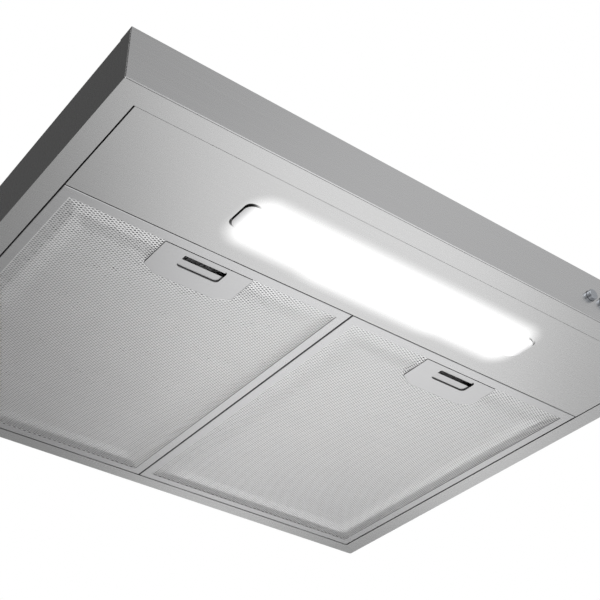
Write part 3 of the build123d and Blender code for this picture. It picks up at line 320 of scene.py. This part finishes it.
# Junction box. A white moulded box with a screwed cover keeps the mains terminals, the motor's
# capacitor and the lamp's driver apart from the air. The supply enters by a black gland.
box_white = moulded("box plastic", (0.80, 0.80, 0.78), 0.42, grain=800, cloudiness=0.05)
dress(box_white, "junction_box", "junction_cover")
dress(moulded("terminal plastic", (0.74, 0.73, 0.67), 0.36, cloudiness=0.06), "terminal_block")
dress(moulded("gland plastic", (0.040, 0.040, 0.042), 0.44), "cable_gland")


def smooth_case(name, colour, roughness):
    """A smooth potted case, with a thin gloss over faint flow marks."""
    finish = Finish(name, {"Coat Weight": 0.35, "Coat Roughness": 0.12})
    flow = finish.noise((60, 220, 220), 2)
    finish.feed("Base Color", finish.tint(colour, 0.95 + flow * 0.1))
    finish.feed("Roughness", (roughness - 0.04) + flow * 0.1)
    return finish


dress(smooth_case("capacitor case", (0.84, 0.84, 0.81), 0.28), "capacitor")
dress(smooth_case("driver case", (0.86, 0.86, 0.86), 0.32), "led_driver")


# Leads. Three sheathed leads inside the hood, from the junction box to the motor, the switches and
# the lamp, with the slight dullness and lay marks of extruded sheath.
sheath = Finish("lead sheath", {})
lay = sheath.noise((90, 90, 90), 2)
sheath.feed("Base Color", sheath.tint((0.10, 0.10, 0.10), 0.85 + lay * 0.3))
sheath.feed("Roughness", 0.42 + lay * 0.14)
sheath.relief(sheath.noise((1200, 1200, 1200), 1), 0.00001)
dress(sheath, "motor_lead", "switch_lead", "lamp_lead")


# Push buttons and their switch block. Five metal caps, turned and then satin ground, stand out of
# the front bar. Their stems run into a black moulded switch block, each round its own spring.
BUTTON_FIRST_X = 0.1695
BUTTON_PITCH = 0.017
BUTTON_COUNT = 5
BUTTON_Z = -0.126
BUTTON_SPRING_FRONT = -0.3395
BUTTON_SPRING_REAR = -0.3234
BUTTON_SPRING_RADIUS = 0.0036
BUTTON_SPRING_WIRE = 0.00035
SPRING_TURNS = 6
GROUND_END = 0.08
TURNING_LINES = 26000

cap = Finish("turned cap", {"Metallic": 1.0})
cap_axes = cap.axes(cap.place)
button = (cap_axes[0] - BUTTON_FIRST_X) / BUTTON_PITCH + 0.5
across = (button.math("FRACT", button) - 0.5) * BUTTON_PITCH
up = cap_axes[2] - BUTTON_Z
radius = (across * across + up * up) ** 0.5
turning = radius.math("SINE", radius * TURNING_LINES)
wear = cap.noise((500, 500, 500), 3)
cap.feed("Base Color", cap.tint((0.42, 0.44, 0.47), 0.88 + turning * 0.05 + wear * 0.16))
cap.feed("Roughness", 0.24 + turning * 0.04 + wear * 0.1)
cap.relief(turning * 0.5 + 0.5, 0.000006)
dress(cap, *[f"button_{number}" for number in range(1, BUTTON_COUNT + 1)])
dress(moulded("switch plastic", (0.045, 0.045, 0.050), 0.40), "switch_body")


def new_piece(name, vertices, faces, finish):
    """A mesh object with smooth shading."""
    mesh = bpy.data.meshes.new(name)
    mesh.from_pydata(vertices, [], faces)
    mesh.validate()
    mesh.shade_smooth()
    mesh.materials.append(finish.material)
    piece = bpy.data.objects.new(name, mesh)
    bpy.context.scene.collection.objects.link(piece)
    return piece


def coil(name, centres, front, rear, radius, wire, sides=10, steps=26):
    """Round wire springs along Y, one round each (x, z), whose ends are closed and ground."""
    vertices, faces = [], []
    rings = SPRING_TURNS * steps + 1
    for x, z in centres:
        first = len(vertices)
        for ring in range(rings):
            share = ring / (rings - 1)
            turn = 2 * math.pi * SPRING_TURNS * share
            rise = min(max((share - GROUND_END) / (1 - 2 * GROUND_END), 0.0), 1.0)
            y = front + wire + (rear - front - 2 * wire) * rise
            for side in range(sides):
                lean = 2 * math.pi * side / sides
                out = radius + wire * math.cos(lean)
                back = y + wire * math.sin(lean)
                vertices.append((x + out * math.cos(turn), back, z + out * math.sin(turn)))
        for ring in range(rings - 1):
            for side in range(sides):
                a = first + ring * sides + side
                b = first + ring * sides + (side + 1) % sides
                faces.append((a, a + sides, b + sides, b))
        last = first + (rings - 1) * sides
        faces.append(tuple(range(first, first + sides)))
        faces.append(tuple(reversed(range(last, last + sides))))
    return new_piece(name, vertices, faces, spring_wire)


spring_wire = plated_steel("spring wire", (0.50, 0.50, 0.52), 0.28)
for number in range(1, BUTTON_COUNT + 1):
    x = BUTTON_FIRST_X + (number - 1) * BUTTON_PITCH
    ends = (BUTTON_SPRING_FRONT, BUTTON_SPRING_REAR)
    size = (BUTTON_SPRING_RADIUS, BUTTON_SPRING_WIRE)
    spring = coil(f"coil_button_{number}", [(x, BUTTON_Z)], *ends, *size)
    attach(spring, "hood")
    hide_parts(f"button_spring_{number}")
    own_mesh(spring)


# Lamp. A black moulded tray holds an opal lens that stands a little below the panel, and a white
# board with a row of white LEDs closes it above. Painted shade: the lens's edge walls are near
# black, for the dark gap round them. Painted glow washes out the lens, its tray and the panel next to it.
LAMP_X = -0.001
LAMP_Y = -0.2733
GLOW_HALF_X = 0.162
GLOW_HALF_Y = 0.0402
GLOW_CORNER = 0.028
GLOW_SOFT = 0.027
GLOW_BULGE = 0.0035
BULGE_HALF_X = 0.055
BULGE_SOFT = 0.030
LENS_LIT_HALF_X = 0.143
LENS_LIT_SOFT = 0.010
LED_HEIGHT = 0.0012
LED_EDGE = 0.0002


def painted_lamp_glow(finish, strength, centre_x=LAMP_X, half_x=GLOW_HALF_X, facing=1.0):
    """Painted glow round the lamp: white emission, full over the lens, fading out over the parts round
    it.
    """
    x, y = finish.axes(finish.place)[:2]
    bulge = (1 - abs(x).rise(BULGE_HALF_X, BULGE_HALF_X + BULGE_SOFT)) * GLOW_BULGE
    out_x = (abs(x - centre_x) - (half_x - GLOW_CORNER)).at_least(0.0)
    behind = y - (LAMP_Y + GLOW_HALF_Y - GLOW_CORNER) - bulge
    out_y = behind.at_least((LAMP_Y - GLOW_HALF_Y + GLOW_CORNER) - y).at_least(0.0)
    beyond = (out_x * out_x + out_y * out_y) ** 0.5 - GLOW_CORNER
    share = 1 - beyond.rise(-GLOW_SOFT, 0.0)
    finish.feed("Emission Color", finish.tint((1.0, 1.0, 1.0), share * facing))
    finish.feed("Emission Strength", strength)


tray_black = moulded("lamp tray plastic", (0.040, 0.040, 0.040), 0.45)
# Painted glow: the black tray's rim is given white emission, as the lamp's glare.
painted_lamp_glow(tray_black, 3.0, centre_x=0.003, half_x=0.159)
dress(tray_black, "lamp_housing")

opal = Finish("opal lens", {"Subsurface Weight": 0.2, "Subsurface Radius": (0.004, 0.004, 0.004)})
bead = opal.noise((700, 700, 700), 1)
# Painted shade: the lens's edge walls get a near-black colour and no glow, for the dark gap round the
# lens.
unshaded_lens_face = abs(opal.axes(opal.normal)[2]).rise(0.5, 0.8)
opal.feed("Base Color", opal.tint((0.86, 0.86, 0.87), unshaded_lens_face * (0.95 + bead * 0.05) + 0.02))
opal.feed("Roughness", 0.30 + bead * 0.12)
from_centre = abs(opal.axes(opal.place)[0])
middle = 1 - from_centre.rise(LENS_LIT_HALF_X, LENS_LIT_HALF_X + LENS_LIT_SOFT)
painted_lamp_glow(opal, 1.5, centre_x=0.0014, half_x=0.1636, facing=unshaded_lens_face.at_least(middle))
dress(opal, "lamp_lens")

board = Finish("lamp board", {})
led_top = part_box("led_board")[0].z + LED_HEIGHT
lamps = 1 - board.axes(board.place)[2].rise(led_top - LED_EDGE, led_top)
weave = board.noise((500, 500, 500), 2)
mask_white = board.tint((0.84, 0.84, 0.80), 0.95 + weave * 0.08)
board.feed("Base Color", board.mix(lamps, mask_white, (0.86, 0.72, 0.28)))
board.feed("Roughness", 0.5 - lamps * 0.2)
dress(board, "led_board")


# Lamp panel. The front half of the underside, folded up at its sides and rear, in the same satin
# stainless steel, with a round-cornered opening for the lamp.
panel = brushed_steel("satin stainless panel", (0.585, 0.585, 0.585), 0.28, stroke=0.06)
# Painted glow: white emission on the steel round the lamp opening, fading out away from the lens.
painted_lamp_glow(panel, 0.8)
dress(panel, "lamp_panel")


# Grease filters. Each is a rolled aluminium channel frame round a face sheet with diamond holes,
# two layers of expanded aluminium and a perforated back sheet. A pressed cover near the front
# holds the sliding latch, whose tab is pulled rearwards by a fingertip against two springs.
FILTER_X = {"left": -0.13995, "right": 0.13995}
SHEET_HALF = 0.13785
SHEET_FRONT = -0.2209
SHEET_REAR = 0.1321
LIP_HALF = 0.13015
LIP_FRONT = -0.2125
LIP_REAR = 0.1248
LIP_COVER = 0.0005
FACE_Z = -0.14915
INNER_LOWER_Z = -0.14415
INNER_UPPER_Z = -0.14320
INNER_TWIST = 0.0002
BACK_Z = -0.14240
SPARE_HOLES = 6
SMALLEST_FACE = 2e-9
BEAD_DEPTH = 0.0006
BEAD_MARGIN = 0.0003
BEAD_OUTER = 0.0120
BEAD_INNER = 0.0137
LATCH_HALF = 0.0427
LATCH_FRONT = -0.2113
LATCH_REAR = -0.1704
LATCH_CUT_X = 0.0125
LATCH_CUT_Y = 0.0075
LATCH_GAP = 0.0008
LATCH_SPRING_OFFSET = 0.015
LATCH_SPRING_FRONT = -0.1829
LATCH_SPRING_REAR = -0.1711
LATCH_SPRING_Z = -0.14765
LATCH_SPRING_RADIUS = 0.0012
LATCH_SPRING_WIRE = 0.00025

cut_slope = math.hypot(LATCH_CUT_X, LATCH_CUT_Y)
latch_sides = [
    (-1.0, 0.0, LATCH_HALF),
    (1.0, 0.0, LATCH_HALF),
    (0.0, -1.0, -LATCH_FRONT),
    (0.0, 1.0, LATCH_REAR),
]
for side in (-1, 1):
    normal_x = side * LATCH_CUT_Y / cut_slope
    normal_y = LATCH_CUT_X / cut_slope
    reach = abs(normal_x) * (LATCH_HALF - LATCH_CUT_X) + normal_y * LATCH_REAR
    latch_sides.append((normal_x, normal_y, reach))


def clear_of_latch(x, y):
    """Points pushed out of the latch cover's outline by the gap round it, and which ones it held."""
    beyond = np.stack([nx * x + ny * y - reach for nx, ny, reach in latch_sides])
    held = beyond.max(0) < LATCH_GAP
    push = np.where(held, LATCH_GAP - beyond.max(0), 0.0)
    normals = np.array(latch_sides)[beyond.argmax(0)]
    return x + normals[..., 0] * push, y + normals[..., 1] * push, held


def beaded(x, y):
    """The face sheet's height: flat, with a bead pressed down all round inside the lips."""
    inside = np.minimum(LIP_HALF - abs(x), np.minimum(y - LIP_FRONT, LIP_REAR - y)) - BEAD_MARGIN
    outer = inside / BEAD_OUTER
    inner = (BEAD_OUTER + BEAD_INNER - inside) / BEAD_INNER
    return FACE_Z - BEAD_DEPTH * np.clip(np.minimum(outer, inner), 0.0, 1.0)


def flat_at(z):
    return lambda x, y: np.full(x.shape, z)


def inside_lips(x, y):
    """Where a sheet shows inside the frame's lips."""
    across = abs(x) < LIP_HALF + LIP_COVER
    return across & (y > LIP_FRONT - LIP_COVER) & (y < LIP_REAR + LIP_COVER)


def everywhere(x, y):
    return np.full(x.shape, True)


def webs_between(start):
    """The metal between neighbouring holes, from the number of each hole's first corner."""
    this = start[:-1, 1:-1]
    behind = start[:-1, 2:]
    odd = np.arange(len(this))[:, None] % 2 == 1
    right_rear = np.where(odd, start[1:, 2:], start[1:, 1:-1])
    right_front = np.where(odd, start[1:, 1:-1], start[1:, :-2])
    webs = [
        (this + 2, behind + 4, behind + 5, this + 1),
        (this + 1, right_rear + 3, right_rear + 4, this),
        (this, right_front + 2, right_front + 3, this + 5),
        (behind + 5, right_rear + 3, this + 1),
        (right_rear + 4, right_front + 2, this),
    ]
    return [np.stack(web, -1).reshape(-1, len(web)) for web in webs]


def kept_faces(points, faces, gone):
    """The faces that are not all cut away and still have an area."""
    faces = faces[~gone[faces].all(1)]
    flat = points[faces][..., :2]
    turned = np.roll(flat, -1, axis=1)
    area = abs((flat[..., 0] * turned[..., 1] - flat[..., 1] * turned[..., 0]).sum(1)) / 2
    return faces[area > SMALLEST_FACE].tolist()


def perforated(name, centre_x, finish, pitch, hole, height_at, punched=everywhere, twist=0.0, latch=True):
    """A sheet with holes in staggered columns, cut to the frame's channel and round the latch.

    A hole has six corners: a tip at each end, and two flat sides of that half length and height.
    A twist lifts one side of each hole and lowers the other, as in expanded metal.
    """
    columns = int(2 * SHEET_HALF / pitch[0]) + SPARE_HOLES
    rows = int((SHEET_REAR - SHEET_FRONT) / pitch[1]) + SPARE_HOLES
    column, row = np.meshgrid(np.arange(columns), np.arange(rows), indexing="ij")
    hole_x = (column - (columns - 1) / 2) * pitch[0]
    hole_y = (SHEET_FRONT + SHEET_REAR) / 2 + (row - rows / 2 + 0.5 * (column % 2)) * pitch[1]
    tip, flat, half_height = hole
    upper = np.array([0.0, 1.0, 1.0, 0.0, -1.0, -1.0])
    x = hole_x[..., None] + np.array([tip, flat, -flat, -tip, -flat, flat])
    y = hole_y[..., None] + half_height * upper
    gone = (abs(x) > SHEET_HALF) | (y < SHEET_FRONT) | (y > SHEET_REAR)
    if latch:
        x, y, held = clear_of_latch(x, y)
        gone |= held
    x = np.clip(x, -SHEET_HALF, SHEET_HALF)
    y = np.clip(y, SHEET_FRONT, SHEET_REAR)
    points = np.stack([x + centre_x, y, height_at(x, y) + twist * upper], -1).reshape(-1, 3)

    start = (column * rows + row) * 6
    blanks = start[~punched(hole_x, hole_y)][:, None] + np.arange(5, -1, -1)
    faces = []
    for group in [*webs_between(start), blanks]:
        faces += kept_faces(points, group, gone.ravel())
    used = np.unique(np.concatenate(faces))
    renumber = np.full(len(points), -1)
    renumber[used] = np.arange(len(used))
    faces = [renumber[face].tolist() for face in faces]
    return new_piece(name, points[used].tolist(), faces, finish)


def rolled_aluminium(name, colour, roughness, streaks):
    """Mill-finished aluminium: rolling streaks along X and a faint oxide bloom."""
    finish = Finish(name, {"Metallic": 1.0})
    rolling = finish.noise((9, streaks, streaks), 3)
    oxide = finish.noise((28, 28, 28), 3)
    finish.feed("Base Color", finish.tint(colour, 0.90 + rolling * 0.10 + oxide * 0.08))
    finish.feed("Roughness", (roughness - 0.08) + rolling * 0.10 + oxide * 0.08)
    finish.relief(rolling, 0.000005)
    return finish


frame_metal = rolled_aluminium("filter frame aluminium", (0.60, 0.60, 0.605), 0.28, 1200)
face_metal = rolled_aluminium("face sheet aluminium", (0.97, 0.97, 0.97), 0.34, 900)
inner_metal = rolled_aluminium("expanded aluminium", (0.58, 0.58, 0.59), 0.50, 500)
back_metal = rolled_aluminium("back sheet aluminium", (0.66, 0.66, 0.67), 0.44, 900)
cover_steel = brushed_steel("satin latch cover", (0.595, 0.595, 0.60), 0.30)
slider_steel = brushed_steel("satin latch slider", (0.585, 0.585, 0.59), 0.32)

# Each layer has its name, export slot and finish, and its sheets. Each sheet has the pitch and the
# shape of its holes, its height, where it is punched, its twist, and whether it goes round the latch.
LAYERS = [
    ("face", "mesh_aluminium", face_metal, [
        ((0.00278, 0.002615), (0.00172, 0.00030, 0.00080), beaded, inside_lips),
    ]),
    ("inner", "inner_aluminium", inner_metal, [
        ((0.0036, 0.0034), (0.0016, 0.0004, 0.00080), flat_at(INNER_LOWER_Z), everywhere, INNER_TWIST),
        ((0.0038, 0.0036), (0.0017, 0.0004, 0.00085), flat_at(INNER_UPPER_Z), everywhere, INNER_TWIST),
    ]),
    ("back", "mesh_aluminium", back_metal, [
        ((0.0046, 0.0043), (0.0013, 0.0007, 0.00110), flat_at(BACK_Z), everywhere, 0.0, False),
    ]),
]

for side, centre_x in FILTER_X.items():
    body = f"filter_{side}"
    for layer, slot, finish, sheets in LAYERS:
        made = [
            perforated(f"{layer}_sheet_{side}_{number}", centre_x, finish, *sheet)
            for number, sheet in enumerate(sheets, 1)
        ]
        for piece in made:
            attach(piece, body)
        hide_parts(f"filter_{side}_{layer}_mesh")
    centres = [(centre_x + end * LATCH_SPRING_OFFSET, LATCH_SPRING_Z) for end in (-1, 1)]
    ends = (LATCH_SPRING_FRONT, LATCH_SPRING_REAR)
    springs = coil(f"coil_latch_{side}", centres, *ends, LATCH_SPRING_RADIUS, LATCH_SPRING_WIRE)
    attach(springs, body)
    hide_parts(f"filter_{side}_latch_springs")
    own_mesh(springs)
    dress(frame_metal, f"filter_{side}_frame")
    dress(cover_steel, f"filter_{side}_latch_plate")
    dress(slider_steel, f"filter_{side}_latch_slider")


# Studio. A plain pale floor far below the hood, soft light from all round that is dimmer above and
# behind the hood's left, and a camera that looks up at the hood from the left of its front.
bpy.context.scene.view_settings.view_transform = "Standard"

FLOOR_Z = -1.6
FLOOR_HALF = 9.0

pale = Finish("studio floor", {"Roughness": 0.9})
camera_ray = pale.node("ShaderNodeLightPath", {}, {}, "Is Camera Ray")
glossy_ray = pale.node("ShaderNodeLightPath", {}, {}, "Is Glossy Ray")
clear_ray = pale.node("ShaderNodeLightPath", {}, {}, "Is Transmission Ray")

# Painted reflection: the metal mirrors a floor that darkens towards its left, its right and its far
# right corner, a darkening painted for glossy rays only; the camera sees the floor evenly pale.
floor_x, floor_y = pale.axes(pale.place)[:2]
from_left = 1 - (1 - (floor_x - floor_y * 0.63).rise(-0.62, 0.21)) * 0.73
from_right = 1 - (floor_x - floor_y * 0.87).rise(0.82, 0.97) * 0.48
corner = 1 - floor_x.rise(1.75, 2.17) * floor_y.rise(2.02, 2.29)
painted_reflection = from_left * from_right * corner
white = (camera_ray + clear_ray) * 0.38 + glossy_ray * painted_reflection * 0.98
pale.feed("Base Color", pale.tint((0.60, 0.60, 0.60), 1 - glossy_ray * (1 - painted_reflection)))
pale.feed("Emission Color", pale.tint((1.0, 1.0, 1.0), white))
pale.feed("Emission Strength", 1.0)

quarters = ((-1, -1), (1, -1), (1, 1), (-1, 1))
floor_corners = [(x * FLOOR_HALF, y * FLOOR_HALF, FLOOR_Z) for x, y in quarters]
floor = new_piece("studio_floor", floor_corners, [(0, 1, 2, 3)], pale)

world = bpy.data.worlds.new("studio")
world.use_nodes = True
bpy.context.scene.world = world
sky = Nodes(world.node_tree)
direction = sky.node("ShaderNodeTexCoord", {}, {}, "Generated")
unit = sky.node("ShaderNodeVectorMath", {"operation": "NORMALIZE"}, {0: direction})


def towards(aim, low, high):
    """1 in that direction, 0 away from it."""
    dot = sky.node("ShaderNodeVectorMath", {"operation": "DOT_PRODUCT"}, {0: unit, 1: aim}, "Value")
    return dot.rise(low, high)


# The sky is dimmer above the hood's front and behind its left, as where cabinets stand round it.
dimmer = (
    towards((0.45, -0.65, 0.60), 0.2, 0.95) * 0.27
    + towards((0.05, -0.57, 0.82), 0.88, 1.0) * 0.35
    + towards((0.81, -0.30, 0.50), 0.91, 1.0) * 0.18
    + towards((-0.50, 0.62, 0.60), 0.2, 0.85) * 0.90
)
seen_by_camera = sky.node("ShaderNodeLightPath", {}, {}, "Is Camera Ray")
daylight = (1 - dimmer).at_least(0.0) * (1 - seen_by_camera) + seen_by_camera
background = world.node_tree.nodes["Background"]
sky.join(background.inputs["Color"], sky.tint((1.0, 1.0, 1.0), daylight))
background.inputs["Strength"].default_value = 1.0

key = bpy.data.lights.new("soft key", "AREA")
key.shape = "DISK"
key.size = 2.4
key.energy = 30.0
key_lamp = bpy.data.objects.new("soft key", key)
heading = Matrix.Rotation(math.radians(-38), 4, "Z")
tilt = Matrix.Rotation(math.radians(48), 4, "X")
key_lamp.matrix_world = Matrix.Translation((-1.6, -2.2, 2.2)) @ heading @ tilt
bpy.context.scene.collection.objects.link(key_lamp)

lens = bpy.data.cameras.new("camera")
lens.lens = 73.286
lens.sensor_width = 36.0
camera = bpy.data.objects.new("camera", lens)
right = (0.797830, -0.602881, -0.000738)
down = (0.359664, 0.476880, -0.801975)
forward = (0.483857, 0.639622, 0.597326)
place = (-0.55228, -0.87723, -0.76985)
camera.matrix_world = Matrix([
    (right[axis], -down[axis], -forward[axis], place[axis]) for axis in range(3)
] + [(0.0, 0.0, 0.0, 1.0)])
bpy.context.scene.collection.objects.link(camera)
bpy.context.scene.camera = camera
